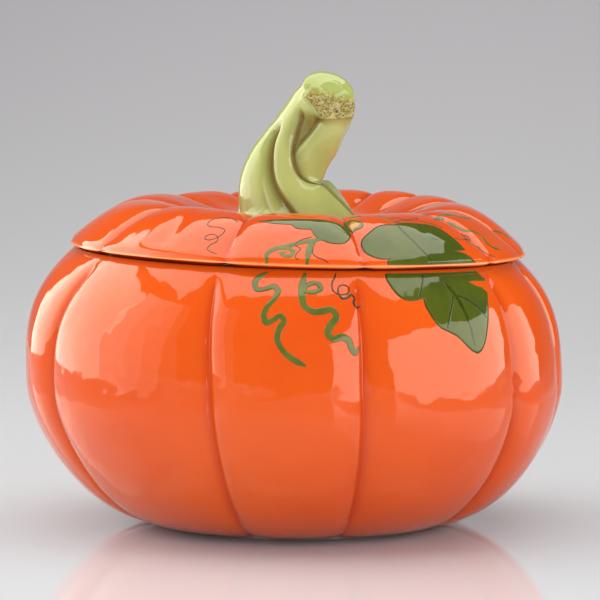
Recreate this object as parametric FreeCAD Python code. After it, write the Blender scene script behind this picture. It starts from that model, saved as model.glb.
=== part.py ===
import FreeCAD, Part
import math
import os

# A lidded ceramic tureen shaped as a pumpkin. Millimetres, +Z up, the front faces -Y.
# The origin is on the table, under the middle of the bowl.

# Bowl
BOWL_RADIUS = 130.0        # widest reach of the ribs
BELLY_HEIGHT = 67.0        # level of the widest reach
RIM_HEIGHT = 131.8         # level of the seat for the lid, at its middle
RIM_RADIUS = 106.7         # outside of the bowl at the seat
BASE_RADIUS = 66.0         # edge of the flat underside
BOWL_WALL = 5.0
LOWER_ROUNDNESS = 1.96     # superellipse powers of the lower half, radial and vertical
LOWER_SQUARENESS = 1.52
SHOULDER_POWER = 3.25      # how late the upper half turns in
LEAN = 2.5                 # sideways shift of the clay over one belly height
SEAT_WIDTH = 10.7          # from the outside of the rim in to the round mouth
LEDGE = 5.0                # thickness of the seat where it turns in
RIM_TILT = 1.6             # degrees that the seat slopes down towards +X
RIM_SHIFT = 1.5            # middle of the mouth, along +X
MOUTH_RADIUS = RIM_RADIUS - SEAT_WIDTH

# Ribs: azimuth of each groove in degrees, from the front, positive towards +X
GROOVES = [-65.5, -18.0, 14.8, 56.0, 82.0, 105.0, 127.0, 150.0, 178.0, 207.5, 235.0, 265.0]
BOWL_GROOVE = 6.0          # depth of a groove at the belly
RIB_POWER = 3.0            # flatness of a rib between its grooves
POLES_PER_RIB = 7

# Foot ring
FOOT_HEIGHT = 1.0
FOOT_WIDTH = 8.0
FOOT_INSET = 9.0           # from the edge of the flat underside
FOOT_ROUNDING = 0.4

# Lid, measured from the seat
LID_OVERHANG = 3.1         # past the outside of the bowl's rim
LIP_THICKNESS = 3.2
LIP_ROLL = 3.0
LID_CREST_RADIUS = 74.0
LID_CREST_HEIGHT = 23.5
LID_WALL = 5.0
LID_BEARING = 5.7          # width of the flat that sits on the bowl's rim
LID_GROOVE = 4.0
VENT_RADIUS = 3.0          # lets the air out of the hollow stem in the kiln
LID_RADIUS = RIM_RADIUS + LID_OVERHANG
LID_SEAT_INNER = RIM_RADIUS - LID_BEARING

# Locating flange under the lid
FLANGE_CLEARANCE = 1.5     # all round, in the mouth
FLANGE_WALL = 4.5
FLANGE_DEPTH = 9.0
FLANGE_ROUNDING = 1.2

# Stem handle, standing on a flat pad in the middle of the lid
PAD_HEIGHT = 16.0          # above the seat
PAD_MARGIN = 6.0           # flat clay round the root of the stem
STEM_HEIGHT = 61.0         # from the pad to the middle of the cut end
STEM_ROOT_RADIUS = 31.0
STEM_WALL = 5.0
STEM_FLUTES = 5
STEM_FLUTE_POWER = 2.2
STEM_TWIST = 95.0          # degrees from root to cut end
STEM_START = -60.0         # azimuth of the first flute at the root
PAD_RADIUS = STEM_ROOT_RADIUS + PAD_MARGIN
# Stations from root to cut end: middle to +X and +Y, share of the height, share of the root
# radius, flute depth
STEM_STATIONS = [
    (0.0, 0.0, 0.0, 1.0, 4.0),
    (-2.5, 0.0, 0.07, 0.89, 5.0),
    (-7.0, 0.0, 0.21, 0.75, 5.5),
    (-6.8, 0.0, 0.38, 0.635, 5.0),
    (-1.5, -1.0, 0.54, 0.575, 4.5),
    (4.5, -2.5, 0.69, 0.55, 4.0),
    (8.5, -5.0, 0.83, 0.52, 3.0),
    (11.5, -8.5, 0.92, 0.49, 1.5),
    (13.4, -12.0, 0.98, 0.46, 0.8),
]
STEM_UPRIGHT_STATIONS = 2  # stations at the root that lie level
STEM_HOLLOW_STATIONS = 7   # stations that the hollow runs through

# Spline surfaces
SPLINE_DEGREE = 3
LOWER_STEPS = 10           # levels from the underside to the belly
UPPER_STEPS = 8            # levels from the belly to above the seat
OVERRUN = 1.12             # how far the upper half runs, so that the seat plane cuts it clean
LID_STEPS = 6              # levels from lip to crest, and again from crest to pad
TRIM_SIZE = 400.0          # half-width of the block that trims the rim
ANGLE_DIGITS = 9           # rounding that makes the last rib end exactly where the first begins


def knots(count):
    """Multiplicities and knots of a clamped spline with this many poles."""
    spans = count - SPLINE_DEGREE
    ends = [SPLINE_DEGREE + 1]
    return ends + [1] * (spans - 1) + ends, [float(k) for k in range(spans + 1)]


def patch(rows):
    """Face on a grid of poles; neighbours with the same end column share that edge exactly."""
    row_mults, row_knots = knots(len(rows))
    col_mults, col_knots = knots(len(rows[0]))
    surface = Part.BSplineSurface()
    surface.buildFromPolesMultsKnots(rows, row_mults, col_mults, row_knots, col_knots,
                                     False, False, SPLINE_DEGREE, SPLINE_DEGREE)
    return surface.toShape()


def cap(ring):
    """Flat face that closes the first or last ring."""
    edges = []
    for poles in ring:
        mults, places = knots(len(poles))
        curve = Part.BSplineCurve()
        curve.buildFromPolesMultsKnots(poles, mults, places, False, SPLINE_DEGREE)
        edges.append(curve.toShape())
    return Part.Face(Part.Wire(edges))


def skin(rings):
    """Solid inside a stack of rings, each a list of ribs and each rib a row of poles."""
    faces = [patch([ring[rib] for ring in rings]) for rib in range(len(rings[0]))]
    faces += [cap(rings[0]), cap(rings[-1])]
    shell = Part.makeShell(faces)
    shell.sewShape()
    solid = Part.makeSolid(shell)
    if solid.Volume < 0:
        solid.reverse()
    return solid


def rib_poles(start, end, power):
    """Angle in radians and sink, 1 in the groove and 0 on the crown, of each pole across a rib."""
    steps = POLES_PER_RIB - 1
    poles = []
    for k in range(POLES_PER_RIB):
        share = k / steps
        angle = round((start + share * (end - start)) % 360, ANGLE_DIGITS)
        poles.append((math.radians(angle), abs(2 * share - 1) ** power))
    return poles


def ribbed_ring(radius, height, slope, groove, inset=0.0, shift=0.0):
    """Poles of one level of the ribs. The groove and inset go inwards, square to the slope.

    slope is the angle in radians of the outward normal above the horizontal."""
    ring = []
    for k, azimuth in enumerate(GROOVES):
        after = GROOVES[k + 1] if k + 1 < len(GROOVES) else GROOVES[0] + 360
        poles = []
        for angle, sink in rib_poles(azimuth, after, RIB_POWER):
            depth = inset + groove * sink
            reach = radius - depth * math.cos(slope)
            poles.append(FreeCAD.Vector(shift + reach * math.sin(angle),
                                        -reach * math.cos(angle),
                                        height - depth * math.sin(slope)))
        ring.append(poles)
    return ring


def slopes(profile):
    """Angle of the outward normal at each (radius, height) of a profile that runs upwards."""
    found = []
    for k in range(len(profile)):
        before = profile[max(k - 1, 0)]
        after = profile[min(k + 1, len(profile) - 1)]
        found.append(math.atan2(before[0] - after[0], after[1] - before[1]))
    return found


def bowl_profile():
    """(radius, height, groove) up the bowl: a superellipse below the belly, a power above it."""
    profile = []
    for k in range(LOWER_STEPS):
        turn = math.pi / 2 * k / LOWER_STEPS
        out = math.sin(turn) ** (2 / LOWER_ROUNDNESS)
        down = math.cos(turn) ** (2 / LOWER_SQUARENESS)
        profile.append((BASE_RADIUS + (BOWL_RADIUS - BASE_RADIUS) * out,
                        BELLY_HEIGHT - (BELLY_HEIGHT - FOOT_HEIGHT) * down,
                        BOWL_GROOVE * math.sin(turn)))
    for k in range(UPPER_STEPS + 1):
        rise = OVERRUN * k / UPPER_STEPS
        profile.append((BOWL_RADIUS - (BOWL_RADIUS - RIM_RADIUS) * rise ** SHOULDER_POWER,
                        BELLY_HEIGHT + (RIM_HEIGHT - BELLY_HEIGHT) * rise,
                        BOWL_GROOVE * max(0.0, 1 - rise ** 2)))
    return profile


def bowl_skin(inset):
    """Bowl-shaped solid, inset by a wall thickness, from the underside to above the seat."""
    profile = bowl_profile()
    normals = slopes([(r, z) for r, z, groove in profile])
    normals[0] = -math.pi / 2
    rings = []
    for (radius, height, groove), slope in zip(profile, normals):
        shift = LEAN * (BELLY_HEIGHT - height) / BELLY_HEIGHT
        rings.append(ribbed_ring(radius, height, slope, groove, inset, shift))
    return skin(rings)


def seat_placement():
    """Where the lid's own frame sits: on the seat, tilted with it."""
    return FreeCAD.Placement(FreeCAD.Vector(RIM_SHIFT, 0, RIM_HEIGHT),
                             FreeCAD.Rotation(FreeCAD.Vector(0, 1, 0), RIM_TILT))


def block_above(height):
    """Everything above a plane parallel to the seat, at this height from it."""
    block = Part.makeBox(2 * TRIM_SIZE, 2 * TRIM_SIZE, TRIM_SIZE,
                         FreeCAD.Vector(-TRIM_SIZE, -TRIM_SIZE, height))
    block.Placement = seat_placement()
    return block


def make_bowl():
    """Ribbed bowl with an even wall that turns in to a flat seat round the mouth."""
    body = bowl_skin(0.0).cut(block_above(0.0))
    hollow = bowl_skin(BOWL_WALL).cut(block_above(-LEDGE))
    mouth = Part.makeCylinder(MOUTH_RADIUS, 3 * LEDGE, FreeCAD.Vector(0, 0, -2 * LEDGE))
    mouth.Placement = seat_placement()
    return body.cut(hollow).cut(mouth)


def make_ring(outer, wall, bottom, top):
    """Plain ring about the local Z axis."""
    height = top - bottom
    base = FreeCAD.Vector(0, 0, bottom)
    return Part.makeCylinder(outer, height, base).cut(Part.makeCylinder(outer - wall, height, base))


def round_edges_at(solid, height, radius):
    """Fillet the round edges that lie at one height."""
    edges = [e for e in solid.Edges if abs(e.BoundBox.ZMin - height) < 1e-6
             and abs(e.BoundBox.ZMax - height) < 1e-6]
    return solid.makeFillet(radius, edges)


def make_foot_ring():
    """Unglazed ring that the bowl stands on."""
    ring = make_ring(BASE_RADIUS - FOOT_INSET, FOOT_WIDTH, 0.0, FOOT_HEIGHT)
    ring = round_edges_at(ring, 0.0, FOOT_ROUNDING)
    ring.translate(FreeCAD.Vector(LEAN * (BELLY_HEIGHT - FOOT_HEIGHT) / BELLY_HEIGHT, 0, 0))
    return ring


def lid_profile():
    """(radius, height, groove) from the lip over the crest and down to the stem's pad."""
    profile = []
    for k in range(LID_STEPS):
        share = k / LID_STEPS
        profile.append((LID_RADIUS + (LID_CREST_RADIUS - LID_RADIUS) * share,
                        LIP_THICKNESS + (LID_CREST_HEIGHT - LIP_THICKNESS) * math.sin(math.pi / 2 * share),
                        LID_GROOVE * math.sqrt(share)))
    for k in range(LID_STEPS + 1):
        share = k / LID_STEPS
        profile.append((LID_CREST_RADIUS + (PAD_RADIUS - LID_CREST_RADIUS) * share,
                        PAD_HEIGHT + (LID_CREST_HEIGHT - PAD_HEIGHT) * (1 + math.cos(math.pi * share)) / 2,
                        LID_GROOVE * (1 - share)))
    return profile


def lid_levels(inset):
    """Levels of the dome and then of the flat pad, inset by a wall thickness."""
    profile = lid_profile()
    normals = slopes([(r, z) for r, z, groove in profile])
    normals[-1] = math.pi / 2
    levels = [(radius, height, slope, groove, inset)
              for (radius, height, groove), slope in zip(profile, normals)]
    for k in range(1, SPLINE_DEGREE + 1):
        levels.append((PAD_RADIUS - PAD_MARGIN * k / SPLINE_DEGREE, PAD_HEIGHT, math.pi / 2, 0.0, inset))
    levels.append((STEM_ROOT_RADIUS / 2, PAD_HEIGHT, math.pi / 2, 0.0, inset))
    return levels


def make_lid():
    """Domed lid with a rolled lip, hollow underneath, and a vent under the stem."""
    flat = math.pi / 2
    lip = [(LID_RADIUS - LIP_ROLL, 0.0, flat, 0.0), (LID_RADIUS, 0.0, flat, 0.0)]
    outside = skin([ribbed_ring(*level) for level in lip + lid_levels(0.0)])
    mouth = [(LID_SEAT_INNER, -LID_WALL, flat, 0.0), (LID_SEAT_INNER, 0.0, flat, 0.0)]
    dome = [level for level in lid_levels(LID_WALL) if level[0] < LID_SEAT_INNER]
    hollow = skin([ribbed_ring(*level) for level in mouth + dome])
    vent = Part.makeCylinder(VENT_RADIUS, 4 * LID_WALL, FreeCAD.Vector(0, 0, PAD_HEIGHT - 2 * LID_WALL))
    return outside.cut(hollow).cut(vent)


def make_flange(lid):
    """Ring that hangs from the underside of the lid into the mouth."""
    ring = make_ring(MOUTH_RADIUS - FLANGE_CLEARANCE, FLANGE_WALL, -FLANGE_DEPTH, LID_CREST_HEIGHT)
    ring = round_edges_at(ring, -FLANGE_DEPTH, FLANGE_ROUNDING)
    pieces = ring.cut(lid).Solids
    return min(pieces, key=lambda piece: piece.BoundBox.ZMin)


def stem_axis():
    """Middle and axis direction of every station; the root stands upright on the pad."""
    middles = [FreeCAD.Vector(x, y, PAD_HEIGHT + STEM_HEIGHT * share)
               for x, y, share, swell, flute in STEM_STATIONS]
    axes = [FreeCAD.Vector(0, 0, 1)] * STEM_UPRIGHT_STATIONS
    for k in range(len(axes), len(middles)):
        axes.append(middles[min(k + 1, len(middles) - 1)] - middles[k - 1])
    return middles, axes


def stem_ring(number, inset):
    """Poles of one fluted station, square to the axis of the stem and turned with its twist."""
    middles, axes = stem_axis()
    radius = STEM_ROOT_RADIUS * STEM_STATIONS[number][3]
    flute = STEM_STATIONS[number][4]
    turn = FreeCAD.Rotation(FreeCAD.Vector(0, 0, 1), axes[number])
    start = STEM_START - STEM_TWIST * number / (len(STEM_STATIONS) - 1)
    width = 360 / STEM_FLUTES
    ring = []
    for k in range(STEM_FLUTES):
        poles = []
        for angle, sink in rib_poles(start + width * k, start + width * (k + 1), STEM_FLUTE_POWER):
            reach = radius - inset - flute * sink
            flat = FreeCAD.Vector(reach * math.sin(angle), -reach * math.cos(angle), 0)
            poles.append(middles[number] + turn.multVec(flat))
        ring.append(poles)
    return ring


def make_stem():
    """Hollow twisted stem that leans over and ends in a flat slanting cut."""
    outside = skin([stem_ring(k, 0.0) for k in range(len(STEM_STATIONS))])
    hollow = skin([stem_ring(k, STEM_WALL) for k in range(STEM_HOLLOW_STATIONS)])
    return outside.cut(hollow)


def write(name, solid):
    """Write one node and print what it measures."""
    solid.exportStep(os.path.join("parts", name + ".step"))
    box = solid.BoundBox
    print(name, "valid", solid.isValid(), "solids", len(solid.Solids), "cm3", round(solid.Volume / 1000, 1),
          "x", round(box.XMin, 1), round(box.XMax, 1), "y", round(box.YMin, 1), round(box.YMax, 1),
          "z", round(box.ZMin, 1), round(box.ZMax, 1))


def main():
    os.makedirs("parts", exist_ok=True)
    write("bowl", make_bowl())
    write("foot_ring", make_foot_ring())
    lid = make_lid()
    on_seat = {"lid": lid, "lid_flange": make_flange(lid), "stem_handle": make_stem()}
    for name, solid in on_seat.items():
        solid.Placement = seat_placement().multiply(solid.Placement)
        write(name, solid)


main()
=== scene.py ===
import math
from functools import partial
import bpy
import numpy as np
from bpy.props import FloatProperty, FloatVectorProperty, IntProperty, PointerProperty
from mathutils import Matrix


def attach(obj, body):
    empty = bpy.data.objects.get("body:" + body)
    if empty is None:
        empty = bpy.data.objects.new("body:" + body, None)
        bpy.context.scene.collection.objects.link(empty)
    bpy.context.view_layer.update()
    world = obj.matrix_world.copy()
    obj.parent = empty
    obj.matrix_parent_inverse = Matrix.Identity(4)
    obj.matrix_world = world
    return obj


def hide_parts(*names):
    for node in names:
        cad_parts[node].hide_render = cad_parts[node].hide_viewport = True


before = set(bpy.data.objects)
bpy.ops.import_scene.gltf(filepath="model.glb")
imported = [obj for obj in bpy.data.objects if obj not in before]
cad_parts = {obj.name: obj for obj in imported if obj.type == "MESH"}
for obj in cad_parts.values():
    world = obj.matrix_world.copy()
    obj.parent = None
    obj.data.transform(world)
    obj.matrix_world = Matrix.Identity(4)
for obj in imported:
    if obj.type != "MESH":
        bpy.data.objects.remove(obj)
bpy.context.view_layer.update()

# A covered pumpkin tureen: ribbed bowl, domed lid, twisted stem and brushed leaves.
# Metres, +Z up, the front faces -Y. The origin is on the table, under the middle of the bowl.

bl_info = {
    "name": "Pumpkin Tureen",
    "version": (1, 0, 0),
    "blender": (4, 5, 0),
    "location": "3D View > Sidebar > Tureen",
    "description": "Builds the glazed bowl, lid, stem and brushed leaves of a covered pumpkin tureen",
    "category": "Object",
}

MM = 0.001
POOL_REACH = 1.6 * MM                   # how far dark glaze pools beside a groove

# Grooves round the ribs, in degrees from the front towards +X: place at the belly, and how far
# the groove has swung by the rim.
GROOVES = ((-65.5, 7.5), (-18.0, 0.0), (14.8, 1.5), (56.0, 0.0), (82.0, -5.0), (105.0, 0.0),
           (127.0, 2.0), (150.0, 0.0), (178.0, 2.0), (207.5, 0.0), (235.0, -2.0), (265.0, 0.0))
RIBS = len(GROOVES)
BELLY = np.array([place for place, swing in GROOVES] + [GROOVES[0][0] + 360])
SWING = np.array([swing for place, swing in GROOVES] + [GROOVES[0][1]])


# Sizes and colours that a user may change

Length = partial(FloatProperty, unit="LENGTH")
Colour = partial(FloatVectorProperty, subtype="COLOR", size=4)


class BowlSizes(bpy.types.PropertyGroup):
    radius: Length(name="Radius", description="Widest reach of the ribs", default=0.130)
    belly_height: Length(name="Belly height", description="Level of the widest reach", default=0.067)
    rim_height: Length(name="Rim height", description="Level of the lid's seat at its middle",
                       default=0.1318)
    rim_radius: Length(name="Rim radius", description="Outside of the bowl at the seat", default=0.1067)
    base_radius: Length(name="Base radius", description="Edge of the flat underside", default=0.066)
    foot_height: Length(name="Foot height", description="Level of the underside", default=0.0010)
    wall: Length(name="Wall", description="Thickness of the clay", default=0.005)
    ledge: Length(name="Ledge", description="Thickness of the seat where it turns in", default=0.005)
    mouth_radius: Length(name="Mouth radius", description="Round opening inside the seat", default=0.096)
    lean: Length(name="Lean", description="Sideways shift of the clay over one belly height",
                 default=0.0025)
    rim_shift: Length(name="Rim shift", description="Middle of the mouth along +X", default=0.0015)
    rim_tilt: FloatProperty(name="Rim tilt", description="Slope of the seat, down towards +X",
                            default=math.radians(1.6), subtype="ANGLE")
    rib_power: FloatProperty(name="Rib flatness", description="Flatness of a rib between its grooves",
                             default=3.0)
    rib_depth: Length(name="Rib depth", description="Depth of the hollow between two ribs", default=0.0040)
    crease_depth: Length(name="Crease depth", description="Extra depth of the tooled crease",
                         default=0.0022)
    crease_width: Length(name="Crease width", description="Distance over which a crease fades",
                         default=0.0026)
    waviness: Length(name="Waviness", description="Height of the soft unevenness of the clay",
                     default=0.00035)
    rib_columns: IntProperty(name="Columns per rib", description="Grid columns across each rib",
                             default=36, min=12)


class LidSizes(bpy.types.PropertyGroup):
    overhang: Length(name="Overhang", description="Reach of the lip past the bowl's rim", default=0.0031)
    lip: Length(name="Lip", description="Thickness of the lip", default=0.0032)
    crest_radius: Length(name="Crest radius", description="Where the dome is highest", default=0.074)
    crest_height: Length(name="Crest height", description="Height of the dome above the seat",
                         default=0.0235)
    wall: Length(name="Wall", description="Thickness of the clay", default=0.005)
    bearing: Length(name="Bearing", description="Width of the flat that sits on the rim", default=0.0057)
    rib_depth: Length(name="Rib depth", description="Depth of the hollow between two ribs", default=0.0025)
    crease_depth: Length(name="Crease depth", description="Extra depth of the tooled crease",
                         default=0.0012)
    pad_radius: Length(name="Pad radius", description="Flat round the root of the stem", default=0.037)
    pad_height: Length(name="Pad height", description="Level of the flat above the seat", default=0.016)
    vent_radius: Length(name="Vent radius", description="Hole under the stem", default=0.003)
    flange_clearance: Length(name="Flange clearance", description="Room round the flange", default=0.0015)
    flange_wall: Length(name="Flange wall", description="Thickness of the flange", default=0.0045)
    flange_depth: Length(name="Flange depth", description="Reach of the flange into the mouth",
                         default=0.009)


class StemSizes(bpy.types.PropertyGroup):
    height: Length(name="Height", description="From the pad to the middle of the cut end", default=0.061)
    root_radius: Length(name="Root radius", description="Radius where it meets the pad", default=0.031)
    crevice: FloatProperty(name="Crevice depth", description="Scale of the hollows between strands",
                           default=1.0)
    pit_depth: Length(name="Pit depth", description="Depth of the pores in the cut end", default=0.0008)


class GlazeColours(bpy.types.PropertyGroup):
    orange: Colour(name="Orange", description="Main glaze", default=(0.505, 0.066, 0.0045, 1.0))
    deep_orange: Colour(name="Deep orange", description="Glaze where it pools",
                        default=(0.40, 0.026, 0.002, 1.0))
    # Peach of the lid's lip: glaze thinned on the edge, and also a painted highlight along it
    thin_orange_and_highlight: Colour(name="Thin orange", description="Glaze worn thin on an edge",
                        default=(0.85, 0.36, 0.13, 1.0))
    lining: Colour(name="Lining", description="Glaze inside bowl and lid", default=(0.82, 0.70, 0.50, 1.0))
    stem: Colour(name="Stem", description="Pale green glaze of the stem", default=(0.30, 0.322, 0.115, 1.0))
    stem_brown: Colour(name="Stem crevices", description="Brown pooled in the crevices",
                       default=(0.13, 0.07, 0.015, 1.0))
    stem_lime: Colour(name="Stem end", description="Lime green of the cut end",
                      default=(0.26, 0.305, 0.088, 1.0))
    leaf: Colour(name="Leaf", description="Olive of the leaves", default=(0.043, 0.061, 0.005, 1.0))
    vein: Colour(name="Vein", description="Veins and outlines of the leaves",
                 default=(0.028, 0.040, 0.003, 1.0))
    tendril: Colour(name="Tendril", description="Green of the thick tendrils",
                    default=(0.085, 0.105, 0.018, 1.0))
    hair: Colour(name="Hair", description="Dark green of the thin tendrils",
                 default=(0.022, 0.028, 0.012, 1.0))
    clay: Colour(name="Bare clay", description="Unglazed foot", default=(0.72, 0.60, 0.46, 1.0))


class PaintSizes(bpy.types.PropertyGroup):
    thickness: Length(name="Thickness", description="How far the paint stands off the glaze",
                      default=0.00011)
    brush: FloatProperty(name="Brush", description="Scale of the width of the thick tendrils", default=1.3)
    step: Length(name="Step", description="Extra height of lines painted over a leaf", default=0.00006)


class StageSettings(bpy.types.PropertyGroup):
    # Floor and backdrop colours are the two ends of a painted pool of light on the sweep
    floor: Colour(name="Floor", description="Pale floor", default=(0.52, 0.545, 0.62, 1.0))
    backdrop: Colour(name="Backdrop", description="Backdrop behind the floor",
                     default=(0.42, 0.42, 0.48, 1.0))
    eye: FloatVectorProperty(name="Eye", description="Place of the camera", subtype="XYZ",
                             default=(0.0026, -2.0, 0.2952))
    aim: FloatVectorProperty(name="Aim", description="Point that the camera looks at", subtype="XYZ",
                             default=(0.0026, 0.0, 0.1077))
    lens: FloatProperty(name="Lens", description="Focal length in millimetres", default=249.2)
    fill: FloatProperty(name="Fill", description="Brightness of the room", default=0.14)


# Curves and grids


def ease(value, low, high):
    """0 below low, 1 above high, and a smooth cubic rise between them."""
    share = np.clip((value - low) / (high - low), 0, 1)
    return share * share * (3 - 2 * share)


def trace(pairs, place):
    """Smooth curve through (place, value) pairs: cubic pieces that share their slope where they meet."""
    places, values = np.array(pairs, float).T
    slopes = np.gradient(values, places)
    place = np.clip(place, places[0], places[-1])
    k = np.clip(np.searchsorted(places, place, side="right") - 1, 0, len(places) - 2)
    step = places[k + 1] - places[k]
    u = (place - places[k]) / step
    return (values[k] * (1 + 2 * u) * (1 - u) ** 2 + slopes[k] * step * u * (1 - u) ** 2
            + values[k + 1] * u * u * (3 - 2 * u) - slopes[k + 1] * step * u * u * (1 - u))


def spline_weights(count, share, degree=3):
    """Weights of a clamped uniform B-spline with this many control points, one row per share."""
    share = np.minimum(np.clip(np.asarray(share, float).ravel(), 0, 1), 1 - 1e-12)[:, None]
    spans = count - degree
    knots = np.concatenate([np.zeros(degree), np.arange(spans + 1), np.full(degree, spans)]) / spans
    weights = ((knots[:-1] <= share) & (share < knots[1:])).astype(float)
    for order in range(1, degree + 1):
        n = weights.shape[1] - 1
        before = knots[order:order + n] - knots[:n]
        after = knots[order + 1:order + 1 + n] - knots[1:1 + n]
        rising = np.where(before > 0, (share - knots[:n]) / np.where(before > 0, before, 1), 0)
        falling = np.where(after > 0, (knots[order + 1:order + 1 + n] - share)
                           / np.where(after > 0, after, 1), 0)
        weights = rising * weights[:, :-1] + falling * weights[:, 1:]
    return weights


def along(poles, share):
    """Points of the B-spline on these control points."""
    poles = np.asarray(poles, float)
    return spline_weights(len(poles), share) @ poles


def profile_line(poles):
    """Fine samples of a profile: share, radius, height, groove factor and outward normal."""
    share = np.linspace(0, 1, 4001)
    radius, height, groove = along(poles, share).T
    run, rise = np.gradient(radius), np.gradient(height)
    length = np.hypot(run, rise)
    travel = np.concatenate([[0], np.cumsum((length[1:] + length[:-1]) / 2)])
    return {"share": share, "radius": radius, "height": height, "groove": groove,
            "out": rise / length, "up": -run / length, "travel": travel / travel[-1]}


def read(line, key, share):
    """Value of one column of a profile at a share, straight between its samples."""
    return np.interp(share, line["share"], line[key])


def bend(start, corner, end, steps):
    """Rows between two rings that round off the corner between them (quadratic curve)."""
    k = (np.arange(1, steps) / steps)[:, None, None]
    return (1 - k) ** 2 * start + 2 * k * (1 - k) * corner + k ** 2 * end


def span(start, end, steps):
    """Rows from one ring to the next, ends included."""
    k = np.linspace(0, 1, steps + 1)[:, None, None]
    return start + (end - start) * k


def closed_grid(rows, loop):
    """Points, four-sided faces and three-sided faces of a grid whose rows are closed rings. The
    rows either close on each other (loop) or end in a point in the middle of the end rings."""
    count, cols = rows.shape[:2]
    points = rows.reshape(-1, 3)
    levels = count if loop else count - 1
    r, c = np.meshgrid(np.arange(levels), np.arange(cols), indexing="ij")
    down, right = (r + 1) % count, (c + 1) % cols
    quads = np.stack([r * cols + c, r * cols + right, down * cols + right, down * cols + c], -1)
    quads = quads.reshape(-1, 4)
    fans = np.empty((0, 3), int)
    if not loop:
        ring = np.arange(cols)
        after = (ring + 1) % cols
        last = (count - 1) * cols
        top = len(points)
        fans = np.concatenate([np.stack([np.full(cols, top), after, ring], -1),
                               np.stack([np.full(cols, top + 1), last + ring, last + after], -1)])
        points = np.concatenate([points, rows[0].mean(0)[None], rows[-1].mean(0)[None]])
    a, b, c, d = (points[quads[:, k]] - rows.mean((0, 1)) for k in range(4))
    if (a * (np.cross(b, c) + np.cross(c, d))).sum() < 0:
        quads, fans = quads[:, ::-1], fans[:, ::-1]
    return points, quads, fans


def point_values(rows, values, loop):
    """One value per point of a closed grid, from a number or a grid of numbers."""
    values = np.broadcast_to(values, rows.shape[:2])
    if loop:
        return values.ravel()
    return np.concatenate([values.ravel(), [values[0].mean(), values[-1].mean()]])


def make_piece(name, sheets, material, body, loop=False, tints=None):
    """Mesh made of closed grids. A tint is one value for all sheets or a list with one for each."""
    sheets = [np.asarray(rows, float) for rows in sheets]
    made = [closed_grid(rows, loop) for rows in sheets]
    starts = np.cumsum([0] + [len(points) for points, quads, fans in made])
    points = np.concatenate([item[0] for item in made])
    quads = np.concatenate([item[1] + start for item, start in zip(made, starts)])
    fans = np.concatenate([item[2] + start for item, start in zip(made, starts)])
    corners = np.concatenate([quads.ravel(), fans.ravel()])
    starts = np.concatenate([np.arange(len(quads)) * 4, len(quads) * 4 + np.arange(len(fans)) * 3])
    mesh = bpy.data.meshes.new(name)
    mesh.vertices.add(len(points))
    mesh.vertices.foreach_set("co", points.ravel())
    mesh.loops.add(len(corners))
    mesh.loops.foreach_set("vertex_index", corners.astype(np.int32))
    mesh.polygons.add(len(starts))
    mesh.polygons.foreach_set("loop_start", starts.astype(np.int32))
    mesh.update(calc_edges=True)
    if mesh.validate():
        raise RuntimeError(name + " has faces that Blender had to mend")
    mesh.shade_smooth()
    for key, values in (tints or {}).items():
        values = values if isinstance(values, list) else [values] * len(sheets)
        flat = np.concatenate([point_values(*pair, loop) for pair in zip(sheets, values)])
        mesh.attributes.new(key, "FLOAT", "POINT").data.foreach_set("value", flat.astype(np.float32))
    mesh.materials.append(material)
    piece = bpy.data.objects.new(name, mesh)
    bpy.context.scene.collection.objects.link(piece)
    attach(piece, body)
    return piece


# Clay surfaces

BOWL_ROWS, BOWL_LINING_ROWS = 112, 44
LID_ROWS, LID_LINING_ROWS = 84, 34


def rib_at(turn, climb):
    """Azimuth, share across the rib and width of the rib for a turn counted in ribs.

    Each groove stands at its own azimuth plus its swing times the square of the climb."""
    k = np.clip(np.floor(turn).astype(int), 0, RIBS - 1)
    across = turn - k
    start = BELLY[k] + SWING[k] * climb ** 2
    width = BELLY[k + 1] + SWING[k + 1] * climb ** 2 - start
    return np.radians(start + width * across), across, np.radians(width)


def turn_at(azimuth, climb):
    """Turn counted in ribs for an azimuth in radians; the reverse of rib_at."""
    azimuth, climb = np.broadcast_arrays(np.degrees(azimuth), climb)
    lines = BELLY + SWING * climb[..., None] ** 2
    azimuth = (azimuth - lines[..., 0]) % 360 + lines[..., 0]
    k = np.clip((azimuth[..., None] >= lines).sum(-1) - 1, 0, RIBS - 1)
    start = np.take_along_axis(lines, k[..., None], -1)[..., 0]
    end = np.take_along_axis(lines, k[..., None] + 1, -1)[..., 0]
    return k + (azimuth - start) / (end - start)


def rib_turns(columns):
    """Turns of the grid columns, closer together near the grooves."""
    share = np.arange(columns) / columns
    across = share - 0.11 * np.sin(2 * np.pi * share)
    return (np.arange(RIBS)[:, None] + across).ravel()


def clay_wave(azimuth, height, seed):
    """Soft unevenness between -1 and 1: a sum of eight sine waves round and up the clay."""
    draw = np.random.default_rng(seed)
    total = 0
    for count in (2, 3, 5, 7, 4, 9, 6, 11):
        phase, rise = draw.uniform(0, 2 * np.pi), draw.uniform(-70, 70)
        total = total + np.sin(count * azimuth + rise * height + phase) / 4
    return total


def crease(near, width):
    """Depth of a V crease with a slightly blunt bottom, at a distance from its middle."""
    blunt = 0.25 * width
    return np.exp((blunt - np.hypot(near, blunt)) / width)


def from_groove(across, width, radius):
    """Distance to the nearest groove: the share of the rib up to it, times its width and radius."""
    return np.minimum(across, 1 - across) * width * radius


def bowl_line(s):
    """Profile of the bowl: a superellipse below the belly and a power curve above it."""
    turn = np.pi / 2 * np.arange(10) / 10
    low = np.stack([s.base_radius + (s.radius - s.base_radius) * np.sin(turn) ** (2 / 1.96),
                    s.belly_height - (s.belly_height - s.foot_height) * np.cos(turn) ** (2 / 1.52),
                    np.sin(turn)], -1)
    rise = 1.12 * np.arange(9) / 8
    high = np.stack([s.radius - (s.radius - s.rim_radius) * rise ** 3.25,
                     s.belly_height + (s.rim_height - s.belly_height) * rise,
                     np.maximum(0, 1 - rise ** 2)], -1)
    return profile_line(np.concatenate([low, high]))


def bowl_climb(s, height):
    """0 at the belly and below it, 1 at the rim, in proportion between them."""
    return np.clip((height - s.belly_height) / (s.rim_height - s.belly_height), 0, 1)


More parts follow.
